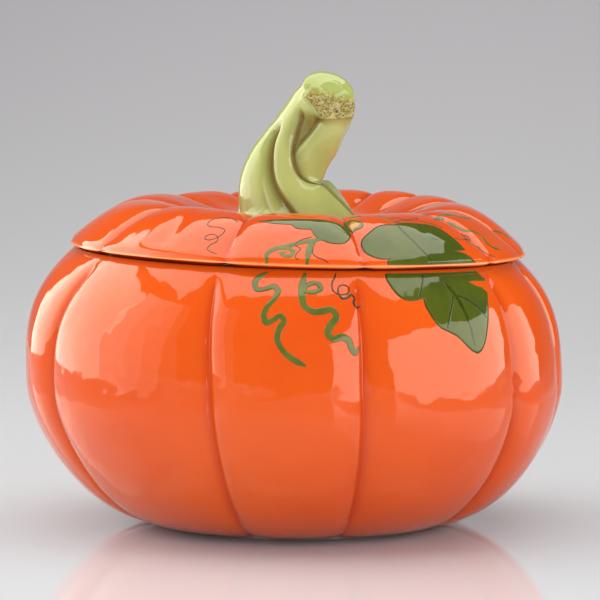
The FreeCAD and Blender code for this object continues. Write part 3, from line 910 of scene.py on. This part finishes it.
# Lines of a brush: width at their middle in millimetres, then their spots
LID_VEINS = (
    (1.5, ((30.8, 87.9), (31, 93.9), (32.4, 99.8), (33.5, 105.4), (34.7, 109))),
    (0.5, ((39.1, 98.2), (40.8, 99.5))), (0.5, ((31.6, 106.9), (34.3, 107.2))),
    (0.5, ((9.5, 87), (12, 91), (14.6, 94.5))))
BOWL_VEINS = (
    (2.3, ((37.6, 125), (39.2, 118.5), (39.9, 112.3), (40.5, 105), (40.7, 96))),
    (1.5, ((39.2, 118.5), (41.9, 116.2), (44, 112.6), (46.2, 107.5))),
    (1.5, ((38.6, 119), (36.4, 112), (34.2, 104.3))), (1.2, ((33, 128), (30.5, 122), (29, 118.5))))
LID_STEMS = (
    (1.1, ((28, 76.5), (29.2, 81.5), (30.8, 88.5))), (1.3, ((17.8, 76.5), (20.5, 75.6), (23.5, 76.4))),
    (2.0, ((7.6, 97.2), (5, 98.2), (1.8, 99.4), (-2.1, 101.6), (-5.9, 103.7), (-7.7, 106.4), (-7.4, 109.4))),
    (1.6, ((-6, 103.8), (-4, 103.2), (-2.2, 103.4), (-1.2, 104.8), (-1.8, 106.6), (-3.4, 106.8),
           (-4.2, 105.6), (-3, 104.9))),
    (2.4, ((5.4, 97.4), (3.9, 99.6), (2.8, 103.8), (2.2, 109.4))),
    (1.7, ((46, 81), (51.5, 78.4), (57, 78.2), (61, 81), (64.5, 85), (69, 87.6))),
    (1.6, ((47.8, 85.5), (53, 83), (57.5, 80.6))),
    (1.4, ((56.8, 84), (57, 89), (58, 93.2), (60.7, 96), (61.5, 98.4), (60.4, 101.9), (61, 104.2),
           (63.8, 106.3))),
    (1.4, ((78, 95), (80.5, 98.5), (83, 103.4))))
BOWL_STEMS = (
    (2.1, ((-6.6, 130.5), (-8.2, 128.8), (-9.3, 125.9), (-8.6, 123.2), (-6.7, 123.4), (-4.5, 124.4),
           (-3.7, 122.6), (-4.3, 119.6), (-5.9, 115.7), (-6.5, 111.8), (-5.9, 109), (-4.5, 110.1),
           (-2.8, 112), (-2.2, 110), (-3.2, 105.8), (-3.5, 101.8), (-2.7, 97.8), (-0.7, 93.4), (2.3, 89.6))),
    (2.5, ((2.7, 130.1), (2, 126), (1.7, 120.9), (2.1, 116.6), (4, 113.8), (6.2, 113.9), (8.2, 114.4),
           (9, 111.7), (7.6, 107.4), (7, 103.7), (8.1, 101.6), (10, 102.4), (11.5, 100.3), (12, 96.9),
           (12.8, 94.8), (13.8, 97.3))),
    (2.0, ((1.9, 120.6), (2.7, 124.4), (4.2, 125.8), (5.7, 125.3), (6.1, 123.6), (5.1, 122.4), (3.2, 122),
           (2, 122.6))))
LID_HAIRS = (
    (0.7, ((-19.5, 84.5), (-21.5, 83.8), (-24.4, 84.2), (-25.7, 86.3))),
    (0.5, ((-25, 85), (-27.6, 89), (-27.4, 91.9), (-25.6, 92.8), (-23.2, 92.3), (-21.4, 93.4),
           (-21.7, 96.6), (-22.7, 98.9), (-24.2, 100.4), (-25.7, 99.8), (-25.2, 97.9), (-23.6, 97.1),
           (-22.3, 98), (-21.9, 100.2), (-23.2, 103.1), (-23.5, 105), (-22.2, 106.2), (-20.4, 106.7))),
    (0.45, ((3.7, 96.8), (0.7, 98.6), (-0.8, 101.1), (0.6, 103.4), (-0.4, 105.8), (-0.7, 107.5),
            (0.3, 108.3))),
    (0.55, ((3.8, 102.2), (3.7, 105.6), (4.5, 107.1), (6.2, 108), (7.4, 108.9))),
    (0.5, ((31.2, 82), (34.4, 82.8), (35.4, 84.2), (38, 84.6), (41.3, 83.5), (40.4, 85.4))),
    (0.6, ((30.8, 87.2), (32.2, 86), (37.4, 85.8), (40.1, 86.4), (42.4, 88), (45, 89.9), (46.6, 92.5))),
    (0.5, ((47.8, 98.8), (51, 99.1), (53.9, 97.4), (53.4, 95.6), (56.5, 94.4), (56.4, 96.8), (52, 99.2),
           (53.6, 101.1), (56.4, 101.3), (56.4, 103.3), (56.9, 106.3), (59, 108.7))))
BOWL_HAIRS = (
    (0.75, ((10.2, 130), (9.7, 128.2), (8.8, 125.4), (8.9, 122.6), (9.8, 121.2), (11.2, 120.8),
            (12.6, 121.8), (12.7, 123.7), (11.6, 124.9), (10.4, 124.2), (10, 122.4), (10.2, 120.8))),
    (1.25, ((10.1, 121), (10.7, 119.3), (12, 119.4), (13.3, 120.4), (13.8, 119.1), (13.4, 117),
            (13.9, 115), (15.1, 115.2))))
LEAVES = {"lid": (LID_LEAF, SMALL_LEAF, SIDE_LEAF), "bowl": (BOWL_LEAF,)}
VEINS = {"lid": LID_VEINS, "bowl": BOWL_VEINS}
TENDRILS = {"lid": LID_STEMS, "bowl": BOWL_STEMS}
HAIRS = {"lid": LID_HAIRS, "bowl": BOWL_HAIRS}


def on_bowl(s, line):
    """Function that puts spots on the bowl: it corrects a first guess until they agree."""
    def place(spots, proud=0.0):
        azimuth, height = np.radians(spots[..., 0]), spots[..., 1] * MM
        guess, level = azimuth, height
        for _ in range(4):
            found = bowl_point(s, line, turn_at(guess, bowl_climb(s, level)), bowl_share_at(line, level))
            guess = guess + azimuth - np.arctan2(found[..., 0], -found[..., 1])
            level = level + height - found[..., 2]
        turn = turn_at(guess, bowl_climb(s, level))
        return bowl_point(s, line, turn, bowl_share_at(line, level), proud)
    return place


def on_lid(s, lid, line):
    """Function that puts spots on the lid, corrected in the same way."""
    def place(spots, proud=0.0):
        turn = turn_at(np.radians(spots[..., 0]), 1.0)
        wanted = spots[..., 1] * MM
        radius = wanted
        for _ in range(4):
            found = off_seat(s, lid_point(s, lid, line, turn, lid_share_at(line, radius)))
            radius = radius + wanted - np.hypot(found[..., 0], found[..., 1])
        return lid_point(s, lid, line, turn, lid_share_at(line, radius), proud)
    return place


def route(spots, step, degree):
    """Smooth curve through the spots, sampled about a step apart along its length."""
    spots = np.array(spots, float)
    gaps = np.hypot(np.diff(spots[:, 0]) * degree, np.diff(spots[:, 1]))
    travel = np.concatenate([[0], np.cumsum(gaps)])
    place = np.linspace(0, travel[-1], int(travel[-1] / step) + 2)
    return np.stack([trace(np.stack([travel, spots[:, k]], -1), place) for k in (0, 1)], -1)


def unit(vectors):
    """Vectors divided by their length."""
    return vectors / np.linalg.norm(vectors, axis=-1, keepdims=True)


def brush_line(place, spots, width, degree, proud):
    """Strip with a lens-shaped section, square to the clay, carried along a route. Its width swells
    from a third at the ends to all of it along the middle."""
    spots = route(spots, LINE_STEP, degree)
    middle = place(spots)
    nudge = 0.05
    side = place(spots + [nudge / degree, 0]) - place(spots - [nudge / degree, 0])
    rise = place(spots + [0, nudge]) - place(spots - [0, nudge])
    out = unit(np.cross(side, rise))
    out = out * np.sign((out * (middle - [0, 0, 90 * MM])).sum(-1, keepdims=True))
    run = np.gradient(middle, axis=0)
    beside = unit(np.cross(out, run))
    share = np.linspace(0, 1, len(spots))
    length = len(spots) * LINE_STEP
    near_end = np.minimum(share, 1 - share) * length
    half = width / 2 * MM * (0.5 + 0.5 * ease(near_end, 0, 1.6 * width))
    half = half * (1 + 0.08 * np.sin(9 * share * np.pi + width * 7))
    turn = np.arange(10) / 10 * 2 * np.pi
    lift = np.where(np.sin(turn) > 0, proud, PAINT_UNDER) * np.sin(turn)
    return (middle[:, None] + beside[:, None] * (half[:, None] * np.cos(turn))[..., None]
            + out[:, None] * lift[:, None])


def brush_patch(place, leaf, degree, proud):
    """Thin patch: rings that grow from the middle of a leaf to its outline and go back under it."""
    middle, pieces = leaf
    outline = np.concatenate([route(piece, OUTLINE_STEP, degree)[:-1] for piece in pieces])
    top = np.linspace(0.03, 1, 34)
    under = np.linspace(0.985, 0.03, 12)
    share = np.concatenate([top, under])
    lift = np.concatenate([proud * np.sqrt(1 - top ** 60), np.full(len(under), -PAINT_UNDER)])
    spots = middle + (outline - middle) * share[:, None, None]
    return place(spots, lift[:, None]), share[:, None]


def leaf_paint(colours):
    """Underglaze brushed in long strokes: olive, thinner here and there, dark at the rim."""
    material, tree, shader = finish("leaf paint", GLAZE_ROUGHNESS, GLAZE_IOR)
    strokes = noise(tree, 90, 3, (1.0, 1.0, 0.18))
    colour = mixed(tree, scaled(tree, strokes, 0.35, 0.68), colours.leaf,
                   shaded(colours.leaf, (1.45, 1.25, 1.3, 1)))
    colour = mixed(tree, scaled(tree, noise(tree, 30, 2), 0.45, 0.7, 0.0, 0.6), colour,
                   shaded(colours.leaf, (0.6, 0.75, 0.7, 1)))
    colour = mixed(tree, tint(tree, "bare"), colour, RUBBED_LEAF)
    tree.links.new(colour, shader.inputs["Base Color"])
    ripple(tree, shader, *GLAZE_RIPPLE)
    return material


def line_paint(name, ink):
    """Underglaze of a single brush line, unevenly loaded."""
    material, tree, shader = finish(name, GLAZE_ROUGHNESS, GLAZE_IOR)
    colour = mixed(tree, scaled(tree, noise(tree, 120, 3), 0.35, 0.65), ink, shaded(ink, 0.72))
    tree.links.new(colour, shader.inputs["Base Color"])
    ripple(tree, shader, *GLAZE_RIPPLE)
    return material


def paint_lines(name, place, lines, degree, proud, material, body):
    """One piece of all these brush lines, riding on the body of the clay under it."""
    sheets = [brush_line(place, spots, width, degree, proud) for width, spots in lines]
    return make_piece(name, sheets, material, body)


def canvases(scene):
    """The painted clays: body, function that puts spots on it, and the length of a degree."""
    s, lid = scene.tureen_bowl, scene.tureen_lid
    return (("lid", on_lid(s, lid, lid_line(s, lid)), LID_DEGREE),
            ("bowl", on_bowl(s, bowl_line(s)), BOWL_DEGREE))


# Operators


class TUREEN_OT_bowl(bpy.types.Operator):
    """Build the ribbed bowl"""
    bl_idname = "tureen.bowl"
    bl_label = "Bowl"

    def execute(self, context):
        scene = context.scene
        piece = make_bowl(scene.tureen_bowl, orange_glaze(scene.tureen_colours, "bowl glaze"))
        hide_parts("bowl")
        return {"FINISHED"}


class TUREEN_OT_lid(bpy.types.Operator):
    """Build the domed lid and the flange under it"""
    bl_idname = "tureen.lid"
    bl_label = "Lid"

    def execute(self, context):
        scene = context.scene
        glaze = orange_glaze(scene.tureen_colours, "lid glaze")
        piece = make_lid(scene.tureen_bowl, scene.tureen_lid, glaze)
        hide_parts("lid")
        flange = make_flange(scene.tureen_bowl, scene.tureen_lid, glaze)
        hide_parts("lid_flange")
        return {"FINISHED"}


class TUREEN_OT_stem(bpy.types.Operator):
    """Build the twisted stem handle"""
    bl_idname = "tureen.stem"
    bl_label = "Stem"

    def execute(self, context):
        scene = context.scene
        piece = make_stem(scene.tureen_bowl, scene.tureen_lid, scene.tureen_stem,
                          stem_glaze(scene.tureen_colours))
        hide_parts("stem_handle")
        return {"FINISHED"}


class TUREEN_OT_leaves(bpy.types.Operator):
    """Paint the leaves, their veins and their outlines on lid and bowl"""
    bl_idname = "tureen.leaves"
    bl_label = "Leaves"

    def execute(self, context):
        scene = context.scene
        paint = scene.tureen_paint
        leaf = leaf_paint(scene.tureen_colours)
        vein = line_paint("vein paint", scene.tureen_colours.vein)
        for body, place, degree in canvases(scene):
            leaves = LEAVES[body]
            patches = [brush_patch(place, item, degree, paint.thickness) for item in leaves]
            bare = [(1 - ease(share, 0.3, 0.8)) * (item is SIDE_LEAF)
                    for item, (rows, share) in zip(leaves, patches)]
            make_piece(body + "_leaves", [rows for rows, share in patches], leaf, body,
                       tints={"bare": bare})
            edges = tuple((OUTLINE_WIDTH, piece) for item in leaves for piece in item[1])
            paint_lines(body + "_leaf_lines", place, VEINS[body] + edges, degree,
                        paint.thickness + paint.step, vein, body)
        return {"FINISHED"}


class TUREEN_OT_tendrils(bpy.types.Operator):
    """Paint the green tendrils and the dark hair-thin ones on lid and bowl"""
    bl_idname = "tureen.tendrils"
    bl_label = "Tendrils"

    def execute(self, context):
        scene = context.scene
        paint = scene.tureen_paint
        green = line_paint("tendril paint", scene.tureen_colours.tendril)
        dark = line_paint("hair paint", scene.tureen_colours.hair)
        for body, place, degree in canvases(scene):
            stems = [(width * paint.brush, spots) for width, spots in TENDRILS[body]]
            paint_lines(body + "_tendrils", place, stems, degree, paint.thickness, green, body)
            paint_lines(body + "_hairs", place, HAIRS[body], degree, paint.thickness + paint.step, dark, body)
        return {"FINISHED"}


class TUREEN_OT_foot(bpy.types.Operator):
    """Give the foot ring its bare clay"""
    bl_idname = "tureen.foot"
    bl_label = "Foot"

    def execute(self, context):
        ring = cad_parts["foot_ring"]
        material = clay_finish(context.scene.tureen_colours)
        ring.data.materials.clear()
        ring.data.materials.append(material)
        return {"FINISHED"}


# Lamps: a warm white, and the upright strips of the left soft box, each an azimuth in degrees, a
# width and a radiance
WARM = (1.0, 0.965, 0.83)
LEFT_STRIPS = ((-112, 0.96, 4.2), (-78, 0.19, 2.6), (-66, 0.19, 2.0), (-54, 0.19, 1.4), (-42, 0.19, 0.5))
STRIP_DISTANCE, STRIP_LEVEL, STRIP_HEIGHT = 0.9, 0.53, 1.06


def face(made, place, aim):
    """Put a lamp or the camera in its place and turn its -Z axis towards a point."""
    made.location = place
    look = np.array(aim, float) - np.array(place, float)
    pitch = math.atan2(math.hypot(look[0], look[1]), -look[2])
    made.rotation_euler = (pitch, 0, math.atan2(-look[0], look[1]))


def lamp(name, place, aim, width, height, power, colour=(1, 1, 1)):
    """Rectangular soft box that faces a point."""
    data = bpy.data.lights.new(name, "AREA")
    data.shape = "RECTANGLE"
    data.size, data.size_y = width, height
    data.energy = power
    data.color = colour
    made = bpy.data.objects.new(name, data)
    bpy.context.scene.collection.objects.link(made)
    made.visible_camera = False
    face(made, place, aim)
    return made


def make_sweep(settings):
    """Floor that curves up into a backdrop: its slope eases from level to upright along it."""
    start, bend_start, bend_length, step = -3.0, 0.5, 2.6, 0.02
    half_width, wall_top = 4.0, 4.0
    slope = np.pi / 2 * ease(np.arange(0, bend_length, step) / bend_length, 0.0, 1.0)
    y = np.concatenate([[start], bend_start + step * np.cumsum(np.cos(slope))])
    z = np.concatenate([[0], step * np.cumsum(np.sin(slope))])
    y = np.append(y, y[-1])
    z = np.append(z, wall_top)
    x = np.array([-half_width, half_width])
    grid = np.stack(np.broadcast_arrays(x[None, :], y[:, None], z[:, None]), -1)
    count = len(y)
    k = np.arange(count - 1)
    faces = np.stack([2 * k, 2 * k + 1, 2 * k + 3, 2 * k + 2], -1)
    mesh = bpy.data.meshes.new("floor")
    mesh.from_pydata(grid.reshape(-1, 3).tolist(), [], faces.tolist())
    mesh.shade_smooth()
    material, tree, shader = finish("floor", 0.07, 1.45)
    place = node(tree, "TexCoord").outputs["Object"]
    depth = node(tree, "SeparateXYZ", Vector=place).outputs["Y"]
    # Painted light: the floor is lighter near the tureen and darker towards the backdrop
    colour = mixed(tree, scaled(tree, depth, -0.2, 1.6), settings.floor, settings.backdrop)
    across = node(tree, "SeparateXYZ", Vector=place).outputs["X"]
    across = node(tree, "Math", {"operation": "ABSOLUTE"}, Value=across).outputs["Value"]
    # Painted shade: darker towards both sides, down to a third of the backdrop's colour
    colour = mixed(tree, scaled(tree, across, 0.24, 0.7, 0.0, 0.75), colour,
                   shaded(settings.backdrop, 0.35))
    tree.links.new(scaled(tree, across, 0.22, 0.4, 0.7, 0.0), shader.inputs["Specular IOR Level"])
    tree.links.new(colour, shader.inputs["Base Color"])
    # Only the upper side shows, so that views from behind and from below see the tureen
    one_sided = node(tree, "MixShader", Fac=node(tree, "NewGeometry").outputs["Backfacing"])
    tree.links.new(shader.outputs["BSDF"], one_sided.inputs[1])
    tree.links.new(node(tree, "BsdfTransparent").outputs["BSDF"], one_sided.inputs[2])
    tree.links.new(one_sided.outputs["Shader"], tree.nodes["Material Output"].inputs["Surface"])
    mesh.materials.append(material)
    floor = bpy.data.objects.new("floor", mesh)
    bpy.context.scene.collection.objects.link(floor)


class TUREEN_OT_stage(bpy.types.Operator):
    """Set up the floor, the soft boxes and the camera"""
    bl_idname = "tureen.stage"
    bl_label = "Stage"

    def execute(self, context):
        scene = context.scene
        settings = scene.tureen_stage
        make_sweep(settings)
        for turn, width, radiance in LEFT_STRIPS:
            side = math.radians(turn)
            place = (STRIP_DISTANCE * math.sin(side), -STRIP_DISTANCE * math.cos(side), STRIP_LEVEL)
            lamp("left box", place, (0, 0, STRIP_LEVEL), width, STRIP_HEIGHT,
                 radiance * math.pi * width * STRIP_HEIGHT, WARM)
        lamp("top box", (0.0, 0.26, 1.5), (0.0, 0.25, 0.0), 2.0, 1.6, 32, WARM)
        lamp("right board", (0.92, -0.30, 0.30), (0, 0, 0.30), 1.9, 0.62, 14.5, WARM)
        lamp("front fill", (-0.25, -1.4, 0.75), (0, 0, 0.05), 2.0, 0.8, 8).visible_glossy = False
        lamp("low fill", (-0.15, -1.1, 0.15), (0, 0, 0.05), 1.6, 0.26, 8.5).visible_glossy = False
        world = bpy.data.worlds.new("room")
        world.use_nodes = True
        back = world.node_tree.nodes["Background"]
        back.inputs["Color"].default_value = (1, 1, 1, 1)
        back.inputs["Strength"].default_value = settings.fill
        scene.world = world
        scene.view_settings.view_transform = "Standard"
        data = bpy.data.cameras.new("camera")
        data.lens = settings.lens
        data.sensor_width = 36
        data.clip_end = 50
        camera = bpy.data.objects.new("camera", data)
        scene.collection.objects.link(camera)
        face(camera, settings.eye, settings.aim)
        scene.camera = camera
        return {"FINISHED"}


class TUREEN_PT_sidebar(bpy.types.Panel):
    bl_label = "Pumpkin Tureen"
    bl_idname = "TUREEN_PT_sidebar"
    bl_space_type = "VIEW_3D"
    bl_region_type = "UI"
    bl_category = "Tureen"

    def draw(self, context):
        for operator in OPERATORS:
            self.layout.operator(operator.bl_idname)
        for name in GROUPS:
            group = getattr(context.scene, name)
            for key in group.bl_rna.properties.keys():
                if key not in ("rna_type", "name"):
                    self.layout.prop(group, key)


GROUPS = {"tureen_bowl": BowlSizes, "tureen_lid": LidSizes, "tureen_stem": StemSizes,
          "tureen_colours": GlazeColours, "tureen_paint": PaintSizes, "tureen_stage": StageSettings}
OPERATORS = (TUREEN_OT_bowl, TUREEN_OT_lid, TUREEN_OT_stem, TUREEN_OT_leaves, TUREEN_OT_tendrils,
             TUREEN_OT_foot, TUREEN_OT_stage)


def register():
    for item in (*GROUPS.values(), *OPERATORS, TUREEN_PT_sidebar):
        bpy.utils.register_class(item)
    for name, group in GROUPS.items():
        setattr(bpy.types.Scene, name, PointerProperty(type=group))


def unregister():
    for name in GROUPS:
        delattr(bpy.types.Scene, name)
    for item in (TUREEN_PT_sidebar, *reversed(OPERATORS), *reversed(list(GROUPS.values()))):
        bpy.utils.unregister_class(item)


def main():
    register()
    for operator in OPERATORS:
        getattr(bpy.ops.tureen, operator.bl_idname.split(".")[1])()


if __name__ == "__main__":
    main()
